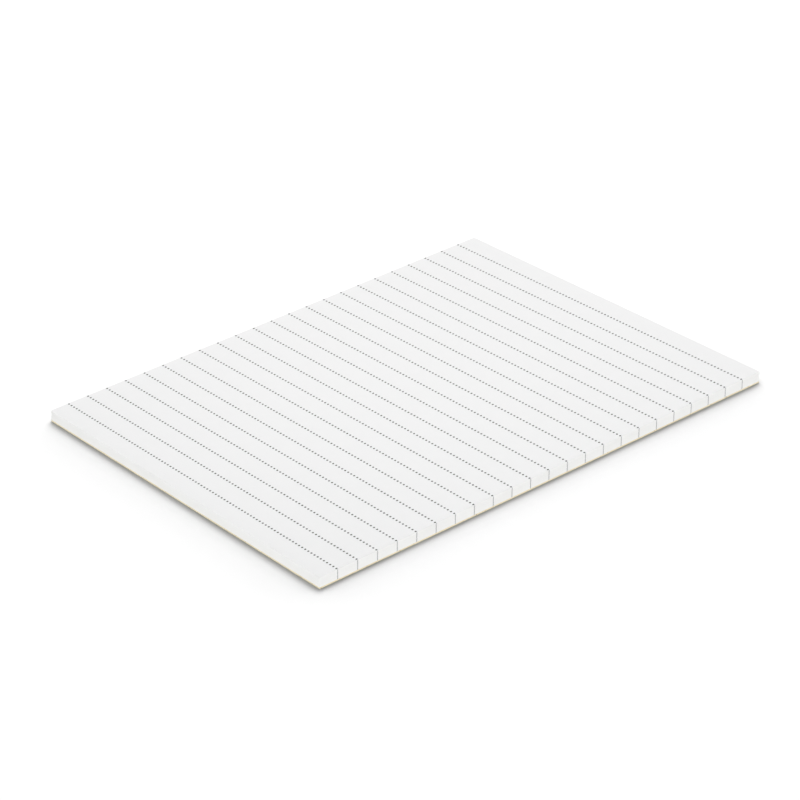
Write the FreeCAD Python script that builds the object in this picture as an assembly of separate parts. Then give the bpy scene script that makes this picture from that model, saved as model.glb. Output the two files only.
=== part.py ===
import FreeCAD, Part
import os

# A ruled writing pad that lies flat: trimmed sheets on a chipboard back, glued at the head.
# Millimetres, +Z up. +X runs along the rules and +Y from the foot of the sheets to the head.
# The origin is under the middle of the pad, on the face that it rests on.

# Cut size of the sheets and of the board, which are trimmed together.
PAD_WIDTH = 203.2
PAD_LENGTH = 254.0
CORNER_RADIUS = 0.5

# The stack, from the table upwards.
BOARD_THICKNESS = 0.7
SHEET_COUNT = 50
SHEET_THICKNESS = 0.0932

# Handling has pushed the stack over: the top sheet lies this much nearer to the head than the board.
STACK_LEAN = 0.45

# Padding compound brushed over the head end of the sheets and the board.
GLUE_THICKNESS = 0.35

# Ruling of the sheets. Each rule is a line of dots, drawn here as one strip as wide as a dot.
RULE_PITCH = 10.61
RULE_WIDTH = 0.86
FOOT_MARGIN = 9.5
LEAST_HEAD_MARGIN = 10.5
RULE_END_GAP = 0.4

# Ink film on the top sheet, and the marks that the rules leave on the cut long edges.
INK_THICKNESS = 0.02
EDGE_MARK_WIDTH = 0.4

BLOCK_THICKNESS = SHEET_COUNT * SHEET_THICKNESS
BLOCK_TOP = BOARD_THICKNESS + BLOCK_THICKNESS
UPRIGHT = FreeCAD.Vector(0, 0, BOARD_THICKNESS)
LEANING = FreeCAD.Vector(0, STACK_LEAN, BLOCK_THICKNESS)

# Edges of the board. The lean and the glue film add to the length that is centred on the origin.
SIDE_EDGE = PAD_WIDTH / 2
FOOT_EDGE = -(PAD_LENGTH + STACK_LEAN + GLUE_THICKNESS) / 2
HEAD_EDGE = FOOT_EDGE + PAD_LENGTH


def trimmed_outline(height):
    """Level face of the cut size over the board, with its four corners slightly blunted."""
    middle = FreeCAD.Vector(0, (FOOT_EDGE + HEAD_EDGE) / 2, height)
    up = FreeCAD.Vector(0, 0, 1)
    corners = []
    for quarter, (side, end) in enumerate([(1, 1), (-1, 1), (-1, -1), (1, -1)]):
        across = side * (PAD_WIDTH / 2 - CORNER_RADIUS)
        along = end * (PAD_LENGTH / 2 - CORNER_RADIUS)
        centre = middle + FreeCAD.Vector(across, along, 0)
        start = 90 * quarter
        corners.append(Part.makeCircle(CORNER_RADIUS, centre, up, start, start + 90))
    edges = []
    for corner, following in zip(corners, corners[1:] + corners[:1]):
        edges.append(corner)
        edges.append(Part.makeLine(corner.lastVertex().Point, following.firstVertex().Point))
    return Part.Face(Part.Wire(edges))


def rectangle(left, right, foot, head, height):
    """Level face between two upright edges across the pad and two along it."""
    corners = [(left, foot), (right, foot), (right, head), (left, head), (left, foot)]
    return Part.Face(Part.makePolygon([FreeCAD.Vector(x, y, height) for x, y in corners]))


def rule_places():
    """Distance along the board of each rule of the lowest sheet, from the foot upwards."""
    ruled_length = PAD_LENGTH - FOOT_MARGIN - LEAST_HEAD_MARGIN
    gaps = int(ruled_length // RULE_PITCH)
    return [FOOT_EDGE + FOOT_MARGIN + number * RULE_PITCH for number in range(gaps + 1)]


def back_board():
    """Chipboard back, the layer that lies on the table."""
    return trimmed_outline(0).extrude(UPRIGHT)


def page_block():
    """All the writing sheets as one solid that leans over towards the head."""
    return trimmed_outline(BOARD_THICKNESS).extrude(LEANING)


def head_glue():
    """Glue film on the flat of the head end, upright on the board and leaning with the sheets."""
    half_width = SIDE_EDGE - CORNER_RADIUS
    outer = HEAD_EDGE + GLUE_THICKNESS
    on_board = rectangle(-half_width, half_width, HEAD_EDGE, outer, 0).extrude(UPRIGHT)
    on_sheets = rectangle(-half_width, half_width, HEAD_EDGE, outer, BOARD_THICKNESS).extrude(LEANING)
    return on_board.fuse(on_sheets).Solids[0]


def rule_print():
    """Rules of the top sheet, each stopping just short of the two long edges."""
    half_length = SIDE_EDGE - RULE_END_GAP
    half_width = RULE_WIDTH / 2
    film = FreeCAD.Vector(0, 0, INK_THICKNESS)
    rules = []
    for place in rule_places():
        middle = place + STACK_LEAN
        rule = rectangle(-half_length, half_length, middle - half_width, middle + half_width, BLOCK_TOP)
        rules.append(rule.extrude(film))
    return Part.makeCompound(rules)


def edge_print():
    """Ink at the rules' ends: down each long edge, one mark for each rule, leaning with the sheets."""
    half_width = EDGE_MARK_WIDTH / 2
    marks = []
    for place in rule_places():
        for left in (-SIDE_EDGE - INK_THICKNESS, SIDE_EDGE):
            right = left + INK_THICKNESS
            mark = rectangle(left, right, place - half_width, place + half_width, BOARD_THICKNESS)
            marks.append(mark.extrude(LEANING))
    return Part.makeCompound(marks)


NODES = {
    "back_board": back_board,
    "page_block": page_block,
    "head_glue": head_glue,
    "rule_print": rule_print,
    "edge_print": edge_print,
}

os.makedirs("parts", exist_ok=True)
for name, make in NODES.items():
    shape = make()
    shape.exportStep("parts/" + name + ".step")
    print(name, len(shape.Solids), "solids", round(shape.Volume, 3), "mm3", shape.isValid())
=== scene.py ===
import math
import random

import bpy
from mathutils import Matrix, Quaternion, Vector, noise


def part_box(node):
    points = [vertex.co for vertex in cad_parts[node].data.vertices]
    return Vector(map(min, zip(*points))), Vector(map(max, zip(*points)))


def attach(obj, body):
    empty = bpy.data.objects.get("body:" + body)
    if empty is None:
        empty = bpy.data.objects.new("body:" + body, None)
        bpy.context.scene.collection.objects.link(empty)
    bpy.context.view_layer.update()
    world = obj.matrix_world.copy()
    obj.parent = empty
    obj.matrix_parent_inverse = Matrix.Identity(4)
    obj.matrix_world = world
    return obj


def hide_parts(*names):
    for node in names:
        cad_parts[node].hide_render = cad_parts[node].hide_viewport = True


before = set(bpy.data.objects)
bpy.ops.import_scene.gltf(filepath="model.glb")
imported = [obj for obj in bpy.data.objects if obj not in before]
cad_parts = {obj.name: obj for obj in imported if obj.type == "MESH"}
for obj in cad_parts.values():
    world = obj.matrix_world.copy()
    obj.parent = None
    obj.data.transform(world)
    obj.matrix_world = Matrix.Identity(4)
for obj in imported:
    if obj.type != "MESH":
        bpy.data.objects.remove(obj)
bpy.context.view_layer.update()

# Back board: stiff buff chipboard, pressed wet from plies of waste-paper pulp. It lies lowest, takes the
# sheets on its upper face and is guillotined in one stroke with them, which shows the plies at its edge.
MM = 0.001
CORNER_RADIUS = 0.5 * MM
CORNER_STEPS = 6
SIDE_STEP = 12.0 * MM
BOARD_PLIES = 5
PLY_SEAM_DEPTH = 0.02 * MM
PLY_SEAM_HEIGHT = 0.03 * MM
PLY_UNEVENNESS = 0.012 * MM
board_low, board_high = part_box("back_board")


def cut_outline(foot, head, inset):
    """Points round one trimmed layer, anticlockwise, with its corners blunted and its sides moved in."""
    side = board_high.x - inset
    corners = [(side, head - inset), (-side, head - inset), (-side, foot + inset), (side, foot + inset)]
    points = []
    for quarter, (x, y) in enumerate(corners):
        centre = Vector((x - math.copysign(CORNER_RADIUS, x), y - math.copysign(CORNER_RADIUS, y)))
        for step in range(CORNER_STEPS + 1):
            angle = math.radians(90) * (quarter + step / CORNER_STEPS)
            points.append(centre + CORNER_RADIUS * Vector((math.cos(angle), math.sin(angle))))
        next_x, next_y = corners[(quarter + 1) % 4]
        steps = round(max(abs(next_x - x), abs(next_y - y)) / SIDE_STEP)
        start = points[-1]
        run = Vector((next_x - x, next_y - y))
        run.length -= 2 * CORNER_RADIUS
        points += [start + run * step / steps for step in range(1, steps)]
    return points


def new_piece(name, vertices, faces, *finishes):
    """Links a mesh that rides with the pad and carries its finishes in the order of their slots."""
    mesh = bpy.data.meshes.new(name)
    mesh.from_pydata(vertices, [], faces)
    for finish in finishes:
        mesh.materials.append(finish)
    piece = bpy.data.objects.new(name, mesh)
    bpy.context.collection.objects.link(piece)
    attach(piece, "root")
    return piece


def trimmed_layers(name, bottom, thickness, insets, shifts, seam_depth, seam_height, *finishes):
    """Layers cut in one stroke, each with its own inset and shift towards the head, and seams between."""
    rings = []
    for layer, (inset, shift) in enumerate(zip(insets, shifts)):
        low = bottom + layer * thickness
        high = low + thickness
        profile = [(low, inset + seam_depth), (low + seam_height, inset), (high - seam_height, inset)]
        if layer == len(insets) - 1:
            profile.append((high, inset + seam_depth))
        for level, cut in profile:
            outline = cut_outline(board_low.y + shift, board_high.y + shift, cut)
            rings.append([(x, y, level) for x, y in outline])
    count = len(rings[0])
    faces = [list(reversed(range(count)))]
    for ring in range(len(rings) - 1):
        for place in range(count):
            here = ring * count + place
            beside = ring * count + (place + 1) % count
            faces.append([here, beside, beside + count, here + count])
    faces.append(list(range((len(rings) - 1) * count, len(rings) * count)))
    return new_piece(name, [point for ring in rings for point in ring], faces, *finishes)


def linear(colour):
    """An sRGB hex colour as the linear colour that shaders take."""
    shares = [int(colour[place:place + 2], 16) / 255 for place in (1, 3, 5)]
    return [s / 12.92 if s <= 0.04045 else ((s + 0.055) / 1.055) ** 2.4 for s in shares] + [1.0]


def add(tree, kind, inputs=None, **settings):
    """Adds a node with its settings. An input takes a plain value or the output of another node."""
    node = tree.nodes.new("ShaderNode" + kind)
    for setting, value in settings.items():
        setattr(node, setting, value)
    for name, value in (inputs or {}).items():
        if isinstance(value, bpy.types.NodeSocket):
            tree.links.new(value, node.inputs[name])
        else:
            node.inputs[name].default_value = value
    return node


def new_finish(name, roughness, ior):
    """A material with its shader, for the caller to give colour and relief."""
    finish = bpy.data.materials.new(name)
    finish.use_nodes = True
    shader = finish.node_tree.nodes["Principled BSDF"]
    shader.inputs["Roughness"].default_value = roughness
    shader.inputs["IOR"].default_value = ior
    return finish, finish.node_tree, shader


def pressed_chipboard():
    """Uncoated recycled pulp: matt buff in soft clouds, with short dark and pale fibres in the face."""
    finish, tree, shader = new_finish("pressed_chipboard", roughness=0.92, ior=1.5)
    place = add(tree, "TexCoord").outputs["Object"]
    clouds = add(tree, "TexNoise", {"Vector": place, "Scale": 1 / (9 * MM), "Detail": 3.0})
    buff = add(tree, "MixRGB", {"Fac": clouds.outputs["Fac"], "Color1": linear("#e7dbb6"),
                                "Color2": linear("#f0e6ca")})
    # Fibres are about 0.03 mm wide in the real pulp. They are drawn 0.3 mm wide so that they show.
    strands = add(tree, "Mapping", {"Vector": place, "Scale": (1.0, 0.6, 1.0)})
    fibres = add(tree, "TexNoise", {"Vector": strands.outputs["Vector"], "Scale": 1 / (0.7 * MM),
                                    "Detail": 2.0})
    dark = add(tree, "MapRange", {"Value": fibres.outputs["Fac"], "From Min": 0.66, "From Max": 0.72})
    pale = add(tree, "MapRange", {"Value": fibres.outputs["Fac"], "From Min": 0.36, "From Max": 0.30})
    flecked = add(tree, "MixRGB", {"Fac": dark.outputs["Result"], "Color1": buff.outputs["Color"],
                                   "Color2": linear("#a8946c")})
    mottled = add(tree, "MixRGB", {"Fac": pale.outputs["Result"], "Color1": flecked.outputs["Color"],
                                   "Color2": linear("#efe8d2")})
    relief = add(tree, "Bump", {"Height": fibres.outputs["Fac"], "Strength": 0.35, "Distance": 0.02 * MM})
    tree.links.new(mottled.outputs["Color"], shader.inputs["Base Color"])
    tree.links.new(relief.outputs["Normal"], shader.inputs["Normal"])
    return finish


# The seed is fixed, so that every run trims and prints the same pad.
chance = random.Random(11)
board = trimmed_layers(
    "chipboard_back",
    board_low.z,
    (board_high.z - board_low.z) / BOARD_PLIES,
    [chance.uniform(0, PLY_UNEVENNESS) for ply in range(BOARD_PLIES)],
    [0.0] * BOARD_PLIES,
    PLY_SEAM_DEPTH,
    PLY_SEAM_HEIGHT,
    pressed_chipboard(),
)
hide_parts("back_board")

# Writing sheets: fifty leaves of white wove paper, stacked on the board and trimmed with it. They lie a
# little further towards the head the higher they are, because handling has pushed the stack over.
SHEET_COUNT = 50
SHEET_SEAM_DEPTH = 0.01 * MM
SHEET_SEAM_HEIGHT = 0.024 * MM
SHEET_UNEVENNESS = 0.012 * MM
block_low, block_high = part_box("page_block")
sheet_thickness = (block_high.z - block_low.z) / SHEET_COUNT
lean = block_high.y - board_high.y
sheet_shifts = [lean * (number + 0.5) / SHEET_COUNT for number in range(SHEET_COUNT)]
sheet_insets = [chance.uniform(0, SHEET_UNEVENNESS) for number in range(SHEET_COUNT)]


def wove_paper():
    """Uncoated white paper: matt, with the faint cloudy look-through and the fine tooth of wove stock."""
    finish, tree, shader = new_finish("wove_paper", roughness=0.9, ior=1.5)
    place = add(tree, "TexCoord").outputs["Object"]
    clouds = add(tree, "TexNoise", {"Vector": place, "Scale": 1 / (4 * MM), "Detail": 4.0})
    white = add(tree, "MixRGB", {"Fac": clouds.outputs["Fac"], "Color1": linear("#f0f0f0"),
                                 "Color2": linear("#f3f3f3")})
    # Fibres of the surface are about 0.02 mm wide. The tooth is drawn at 0.15 mm so that it catches light.
    tooth = add(tree, "TexNoise", {"Vector": place, "Scale": 1 / (0.15 * MM), "Detail": 2.0})
    relief = add(tree, "Bump", {"Height": tooth.outputs["Fac"], "Strength": 0.25, "Distance": 0.006 * MM})
    tree.links.new(white.outputs["Color"], shader.inputs["Base Color"])
    tree.links.new(relief.outputs["Normal"], shader.inputs["Normal"])
    return finish


def guillotined_paper_edge():
    """Edges of many sheets cut at once: white with a trace of cream, in fine level streaks."""
    finish, tree, shader = new_finish("guillotined_paper_edge", roughness=0.95, ior=1.5)
    place = add(tree, "TexCoord").outputs["Object"]
    level = add(tree, "Mapping", {"Vector": place, "Scale": (0.01, 0.01, 1.0)})
    # A sheet is 0.09 mm thick. The streaks are drawn about 0.3 mm high, as groups of sheets, to show.
    streaks = add(tree, "TexNoise", {"Vector": level.outputs["Vector"], "Scale": 1 / (0.3 * MM),
                                     "Detail": 2.0})
    white = add(tree, "MixRGB", {"Fac": streaks.outputs["Fac"], "Color1": linear("#f1f1ef"),
                                 "Color2": linear("#f5f5f4")})
    relief = add(tree, "Bump", {"Height": streaks.outputs["Fac"], "Strength": 0.2, "Distance": 0.01 * MM})
    tree.links.new(white.outputs["Color"], shader.inputs["Base Color"])
    tree.links.new(relief.outputs["Normal"], shader.inputs["Normal"])
    return finish


cut_edge = guillotined_paper_edge()
lower_sheets = trimmed_layers(
    "lower_sheets",
    block_low.z,
    sheet_thickness,
    sheet_insets[:-1],
    sheet_shifts[:-1],
    SHEET_SEAM_DEPTH,
    SHEET_SEAM_HEIGHT,
    cut_edge,
)
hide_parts("page_block")

# Top sheet: the same paper as the sheets under it, glued and trimmed with them, and the only one whose
# printed face is in sight.
FACE_LEVEL = 0.99
top_sheet = trimmed_layers(
    "top_sheet",
    block_high.z - sheet_thickness,
    sheet_thickness,
    sheet_insets[-1:],
    sheet_shifts[-1:],
    SHEET_SEAM_DEPTH,
    SHEET_SEAM_HEIGHT,
    cut_edge,
    wove_paper(),
)
for face in top_sheet.data.polygons:
    if abs(face.normal.z) > FACE_LEVEL:
        face.material_index = 1
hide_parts("page_block")

# Ruling: lines of small round dots, printed by offset in dark grey on each sheet before it is cut. The film
# of ink is far thinner than paper, so each dot is a very low disc on the top sheet.
# A dot measures 0.86 mm in the real print. It is drawn a little larger, so that it shows as dark as there.
RULE_PITCH = 10.61 * MM
RULE_WIDTH = 0.86 * MM
DOT_DIAMETER = 0.97 * MM
DOTS_PER_RULE = 95
DOT_SIDES = 12
DOT_SPREAD = 0.03
rules_low, rules_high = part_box("rule_print")
rule_count = 1 + round((rules_high.y - rules_low.y) / RULE_PITCH)
first_rule = rules_low.y + RULE_WIDTH / 2
first_dot = rules_low.x + RULE_WIDTH / 2
dot_pitch = (rules_high.x - rules_low.x - RULE_WIDTH) / (DOTS_PER_RULE - 1)


def ink_disc(x, y, radius, vertices, faces):
    """Adds one closed disc of ink, standing on the top sheet."""
    start = len(vertices)
    for level in (block_high.z, rules_high.z):
        for side in range(DOT_SIDES):
            angle = math.tau * side / DOT_SIDES
            vertices.append((x + radius * math.cos(angle), y + radius * math.sin(angle), level))
    faces.append(list(range(start + DOT_SIDES - 1, start - 1, -1)))
    faces.append(list(range(start + DOT_SIDES, start + 2 * DOT_SIDES)))
    for side in range(DOT_SIDES):
        here = start + side
        beside = start + (side + 1) % DOT_SIDES
        faces.append([here, beside, beside + DOT_SIDES, here + DOT_SIDES])


def offset_ink():
    """Printing ink soaked into uncoated paper: dark neutral grey, matt and a little uneven."""
    finish, tree, shader = new_finish("offset_ink", roughness=0.8, ior=1.48)
    place = add(tree, "TexCoord").outputs["Object"]
    soak = add(tree, "TexNoise", {"Vector": place, "Scale": 1 / (0.25 * MM), "Detail": 2.0})
    grey = add(tree, "MixRGB", {"Fac": soak.outputs["Fac"], "Color1": linear("#1f1f20"),
                                "Color2": linear("#2d2d2e")})
    tree.links.new(grey.outputs["Color"], shader.inputs["Base Color"])
    return finish


dot_vertices = []
dot_faces = []
for rule in range(rule_count):
    for dot in range(DOTS_PER_RULE):
        radius = DOT_DIAMETER / 2 * (1 - chance.uniform(0, DOT_SPREAD))
        ink_disc(first_dot + dot * dot_pitch, first_rule + rule * RULE_PITCH, radius, dot_vertices, dot_faces)
rule_dots = new_piece("rule_dots", dot_vertices, dot_faces, offset_ink())
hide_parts("rule_print")

# Rule ends: where the printed rules run off a sheet, the blade leaves the cut ink showing in its edge. One
# small mark for each rule on each sheet adds up to the grey ticks down both long sides of the pad.
MARK_WIDTH = 0.4 * MM
MARK_SHARE = 0.7
MARK_DRIFT = 0.05 * MM
marks_low, marks_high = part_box("edge_print")


def ink_mark(side, y, low, high, inset, vertices, faces):
    """Adds one closed chip of ink in the cut edge of a sheet: on the right for side 1, on the left for -1."""
    start = len(vertices)
    inner = side * (board_high.x - inset - (marks_high.x - board_high.x))
    outer = side * (marks_high.x - inset)
    for x, along, level in [(x, along, level) for x in (inner, outer)
                            for along in (-1, 1) for level in (low, high)]:
        vertices.append((x, y + along * MARK_WIDTH / 2, level))
    quads = [(0, 1, 3, 2), (4, 6, 7, 5), (0, 4, 5, 1), (2, 3, 7, 6), (0, 2, 6, 4), (1, 5, 7, 3)]
    for quad in quads:
        corners = quad if side > 0 else tuple(reversed(quad))
        faces.append([start + corner for corner in corners])


def cut_ink():
    """Ink seen end-on in the cut paper: mid grey, because fibres of the sheet show between its traces."""
    finish, tree, shader = new_finish("cut_ink", roughness=0.9, ior=1.48)
    place = add(tree, "TexCoord").outputs["Object"]
    traces = add(tree, "TexNoise", {"Vector": place, "Scale": 1 / (0.1 * MM), "Detail": 1.0})
    grey = add(tree, "MixRGB", {"Fac": traces.outputs["Fac"], "Color1": linear("#9c9c9d"),
                                "Color2": linear("#b0b0b1")})
    tree.links.new(grey.outputs["Color"], shader.inputs["Base Color"])
    return finish


mark_vertices = []
mark_faces = []
mark_margin = sheet_thickness * (1 - MARK_SHARE) / 2
for number in range(SHEET_COUNT):
    low = block_low.z + number * sheet_thickness + mark_margin
    high = low + sheet_thickness * MARK_SHARE
    drift = chance.uniform(-MARK_DRIFT, MARK_DRIFT)
    for rule in range(rule_count):
        y = first_rule - lean + sheet_shifts[number] + rule * RULE_PITCH + drift
        for side in (1, -1):
            ink_mark(side, y, low, high, sheet_insets[number], mark_vertices, mark_faces)
rule_ends = new_piece("rule_ends", mark_vertices, mark_faces, cut_ink())
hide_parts("edge_print")

# Head glue: white padding compound, a flexible glue that is brushed over the clamped head end in two coats.
# It holds every sheet and the board by its edge, and dries as a thin uneven skin with brush marks along it.
GLUE_COLUMNS = 170
GLUE_ROWS = 16
GLUE_SOAK = 0.03 * MM
GLUE_MEAN_SHARE = 0.65
GLUE_THIN_SHARE = 0.3
GLUE_RIM_SHARE = 0.15
GLUE_EDGE = 0.6 * MM
BRUSH_RUN = 14.0 * MM
BRUSH_HAIR = 0.7 * MM
BRUSH_DEPTH = 0.5
LUMP_RUN = 3.5 * MM
LUMP_HEIGHT = 2.1 * MM
LUMP_DEPTH = 0.25
LUMP_SLICE = 7.0
glue_low, glue_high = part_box("head_glue")
glue_film = glue_high.y - block_high.y


def head_place(height):
    """Where the head end of the pad lies at a height: upright on the board, then leaning with the sheets."""
    risen = max(0.0, height - board_high.z) / (block_high.z - board_high.z)
    return board_high.y + lean * risen


def film_at(x, height):
    """Thickness of the brushed skin, drawn out along the brush and thinned at its four edges."""
    brushed = noise.noise(Vector((x / BRUSH_RUN, height / BRUSH_HAIR, 0.0)))
    lumps = noise.noise(Vector((x / LUMP_RUN, height / LUMP_HEIGHT, LUMP_SLICE)))
    share = min(1.0, max(GLUE_THIN_SHARE, GLUE_MEAN_SHARE + BRUSH_DEPTH * brushed + LUMP_DEPTH * lumps))
    rim = min(glue_high.x - abs(x), height - glue_low.z, glue_high.z - height)
    thinning = math.sin(math.pi / 2 * min(1.0, rim / GLUE_EDGE))
    return glue_film * share * (GLUE_RIM_SHARE + (1 - GLUE_RIM_SHARE) * thinning)


def padding_compound():
    """Dried white padding glue: smooth, a little rubbery, with a soft sheen that the brush marks break up."""
    finish, tree, shader = new_finish("padding_compound", roughness=0.38, ior=1.46)
    place = add(tree, "TexCoord").outputs["Object"]
    along = add(tree, "Mapping", {"Vector": place, "Scale": (0.06, 1.0, 1.0)})
    # The hairs of a glue brush are about 0.15 mm thick. Their marks are drawn 0.25 mm wide so that they show.
    hairs = add(tree, "TexNoise", {"Vector": along.outputs["Vector"], "Scale": 1 / (0.25 * MM),
                                   "Detail": 3.0})
    white = add(tree, "MixRGB", {"Fac": hairs.outputs["Fac"], "Color1": linear("#e9e9e4"),
                                 "Color2": linear("#f3f3f0")})
    relief = add(tree, "Bump", {"Height": hairs.outputs["Fac"], "Strength": 0.5, "Distance": 0.03 * MM})
    tree.links.new(white.outputs["Color"], shader.inputs["Base Color"])
    tree.links.new(relief.outputs["Normal"], shader.inputs["Normal"])
    return finish


glue_vertices = []
for depth in (0, 1):
    for row in range(GLUE_ROWS + 1):
        height = glue_low.z + (glue_high.z - glue_low.z) * row / GLUE_ROWS
        for column in range(GLUE_COLUMNS + 1):
            x = glue_low.x + (glue_high.x - glue_low.x) * column / GLUE_COLUMNS
            y = head_place(height) + (film_at(x, height) if depth else -GLUE_SOAK)
            glue_vertices.append((x, y, height))
row_length = GLUE_COLUMNS + 1
layer_size = row_length * (GLUE_ROWS + 1)
glue_faces = []
for row in range(GLUE_ROWS):
    for column in range(GLUE_COLUMNS):
        here = row * row_length + column
        inner = [here, here + 1, here + 1 + row_length, here + row_length]
        glue_faces.append(inner)
        glue_faces.append([layer_size + point for point in reversed(inner)])
rim = list(range(row_length))
rim += [row * row_length + GLUE_COLUMNS for row in range(1, GLUE_ROWS + 1)]
rim += [GLUE_ROWS * row_length + column for column in range(GLUE_COLUMNS - 1, -1, -1)]
rim += [row * row_length for row in range(GLUE_ROWS - 1, 0, -1)]
for place, point in enumerate(rim):
    beside = rim[(place + 1) % len(rim)]
    glue_faces.append([beside, point, point + layer_size, beside + layer_size])
head_glue = new_piece("brushed_glue", glue_vertices, glue_faces, padding_compound())
head_glue.data.shade_smooth()
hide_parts("head_glue")

# Table: a plain white sweep that the pad lies on. It isn't part of the pad and shows the pad's real shadow
# from the lamps, with a painted shadow added round the pad.
# It lies a hair below the board, and a lift that grows with distance keeps it white where the lamps fade.
TABLE_REACH = 1.5
TABLE_LEVEL = -0.05 * MM
PAINTED_SHADOW_REACH = 38.0 * MM
PAINTED_SHADOW_DEPTH = 0.95
LIGHT_SIDE = (-0.33, 0.33, 1.0)
TABLE_LIFT = 0.12
FAR_LIFT = 0.4
LIFT_START = 0.2
LIFT_END = 1.0
TABLE_GLOW_STRENGTH = 0.6


def plain_rays(tree):
    """The rays that see plain white surroundings: the camera's, and those off gloss or through glass."""
    path = add(tree, "LightPath")
    gloss = add(tree, "Math", {0: path.outputs["Is Camera Ray"], 1: path.outputs["Is Glossy Ray"]},
                operation="MAXIMUM")
    glass = add(tree, "Math", {0: gloss.outputs["Value"], 1: path.outputs["Is Transmission Ray"]},
                operation="MAXIMUM")
    return glass.outputs["Value"]


def white_sweep():
    """Matt white, clear from below, darkened round the pad by the lamps' shadow and by a painted shadow. For
    other rays it glows evenly, which lights the cut edges evenly.
    """
    finish = bpy.data.materials.new("white_sweep")
    finish.use_nodes = True
    tree = finish.node_tree
    tree.nodes.clear()
    side = add(tree, "CombineXYZ", {"X": LIGHT_SIDE[0], "Y": LIGHT_SIDE[1], "Z": LIGHT_SIDE[2]})
    towards_light = add(tree, "VectorMath", {0: side.outputs["Vector"]}, operation="NORMALIZE")
    open_share = add(tree, "AmbientOcclusion", {"Normal": towards_light.outputs["Vector"],
                                                "Distance": PAINTED_SHADOW_REACH}, samples=16)
    # Painted shadow: the white is darkened by the share of nearby directions that the pad hides, on top of
    # the lamps' real shadow.
    painted_shadow = add(tree, "Math", {0: open_share.outputs["AO"], 1: PAINTED_SHADOW_DEPTH}, operation="POWER")
    matt = add(tree, "BsdfDiffuse", {"Color": painted_shadow.outputs["Value"]})
    place = add(tree, "TexCoord").outputs["Object"]
    reach = add(tree, "VectorMath", {0: place}, operation="LENGTH")
    evening = add(tree, "MapRange", {"Value": reach.outputs["Value"], "From Min": LIFT_START,
                                     "From Max": LIFT_END, "To Min": TABLE_LIFT, "To Max": FAR_LIFT})
    # The lift that keeps the sweep white carries the same painted shadow.
    lift = add(tree, "Emission", {"Color": painted_shadow.outputs["Value"], "Strength": evening.outputs["Result"]})
    lifted = add(tree, "AddShader", {0: matt.outputs["BSDF"], 1: lift.outputs["Emission"]})
    # For other rays the sweep glows with a fixed strength like a lamp, not bounced lamp light, and so lights
    # the cut edges evenly.
    table_glow = add(tree, "Emission", {"Color": linear("#ffffff"), "Strength": TABLE_GLOW_STRENGTH})
    shown = add(tree, "MixShader", {"Fac": plain_rays(tree), 1: table_glow.outputs["Emission"],
                                    2: lifted.outputs["Shader"]})
    clear = add(tree, "BsdfTransparent")
    underneath = add(tree, "NewGeometry").outputs["Backfacing"]
    one_sided = add(tree, "MixShader", {"Fac": underneath, 1: shown.outputs["Shader"],
                                        2: clear.outputs["BSDF"]})
    add(tree, "OutputMaterial", {"Surface": one_sided.outputs["Shader"]})
    # So faint and wide a glow is found by the rays themselves, without being aimed at as a lamp.
    finish.cycles.emission_sampling = "NONE"
    return finish


table_mesh = bpy.data.meshes.new("table")
table_mesh.from_pydata(
    [(x * TABLE_REACH, y * TABLE_REACH, TABLE_LEVEL) for x, y in [(-1, -1), (1, -1), (1, 1), (-1, 1)]],
    [],
    [(0, 1, 2, 3)],
)
table_mesh.materials.append(white_sweep())
table = bpy.data.objects.new("table", table_mesh)
bpy.context.collection.objects.link(table)

# Light: a softbox behind the pad throws its short shadow forwards, a small one hangs over the middle, and a
# white tent that glows low down all round lights the cut edges. Each share is about the part of full
# brightness that the source gives a level white sheet. The low glow gives the part that is left.
TENT_SHARE = 0.10
GLOW_HEIGHT = 0.2
GLOW = 7.2
world = bpy.data.worlds.new("white_tent")
world.use_nodes = True
tent = world.node_tree
tent.nodes.clear()
direction = add(tent, "SeparateXYZ", {"Vector": add(tent, "TexCoord").outputs["Generated"]})
low_glow = add(tent, "MapRange", {"Value": direction.outputs["Z"], "From Max": GLOW_HEIGHT, "To Min": GLOW,
                                  "To Max": 0.0}, interpolation_type="SMOOTHSTEP")
above = add(tent, "Math", {0: direction.outputs["Z"], 1: 0.0}, operation="GREATER_THAN")
tent_light = add(tent, "Math", {0: low_glow.outputs["Result"], 1: above.outputs["Value"], 2: TENT_SHARE},
                 operation="MULTIPLY_ADD")
strength = add(tent, "MapRange", {"Value": plain_rays(tent), "To Min": tent_light.outputs["Value"],
                                  "To Max": 1.0})
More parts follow.
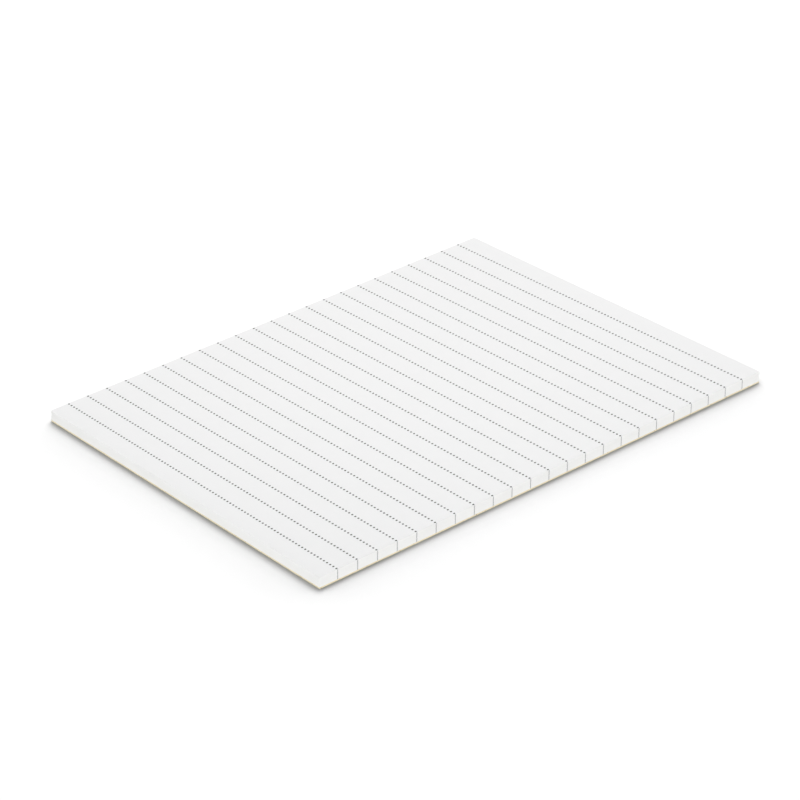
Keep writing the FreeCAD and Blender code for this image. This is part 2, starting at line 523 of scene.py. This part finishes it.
wall = add(tent, "Background", {"Color": linear("#ffffff"), "Strength": strength.outputs["Result"]})
add(tent, "OutputWorld", {"Surface": wall.outputs["Background"]})
bpy.context.scene.world = world


def softbox(name, bearing, height_angle, distance, size, share):
    """A square soft lamp that faces the pad: bearing off +X and angle above the table in degrees."""
    turn, rise = math.radians(bearing), math.radians(height_angle)
    outward = Vector((math.cos(rise) * math.cos(turn), math.cos(rise) * math.sin(turn), math.sin(rise)))
    lamp = bpy.data.lights.new(name, "AREA")
    lamp.size = size
    # From this far a lamp gives a level white sheet power * sin(height_angle) / (pi * distance) ** 2.
    lamp.energy = share * (math.pi * distance) ** 2 / outward.z
    holder = bpy.data.objects.new(name, lamp)
    holder.location = outward * distance
    holder.rotation_mode = "QUATERNION"
    holder.rotation_quaternion = outward.to_track_quat("Z", "Y")
    holder.visible_camera = False
    bpy.context.collection.objects.link(holder)


softbox("back_softbox", bearing=127.4, height_angle=57.3, distance=5.0, size=2.5, share=0.68)
softbox("middle_softbox", bearing=-63, height_angle=84.9, distance=0.45, size=0.2, share=0.15)
softbox("front_softbox", bearing=-47, height_angle=8, distance=4.0, size=0.9, share=0.034)

# Camera: a long lens well back from the pad, a little out of level, placed by the grid of the printed dots.
LENS = 140.85
AIM = Vector((5.24, -6.67, 5.36)) * MM
DISTANCE = 1425.9 * MM
BEARING = math.radians(-36.93)
HEIGHT_ANGLE = math.radians(28.41)
TILT = math.radians(-3.95)
back = Vector((
    math.cos(HEIGHT_ANGLE) * math.cos(BEARING),
    math.cos(HEIGHT_ANGLE) * math.sin(BEARING),
    math.sin(HEIGHT_ANGLE),
))
camera = bpy.data.objects.new("camera", bpy.data.cameras.new("camera"))
camera.data.lens = LENS
camera.data.clip_start = 0.05
camera.location = AIM + back * DISTANCE
camera.rotation_mode = "QUATERNION"
camera.rotation_quaternion = back.to_track_quat("Z", "Y") @ Quaternion((0, 0, 1), TILT)
bpy.context.collection.objects.link(camera)
bpy.context.scene.camera = camera
bpy.context.scene.view_settings.view_transform = "Standard"
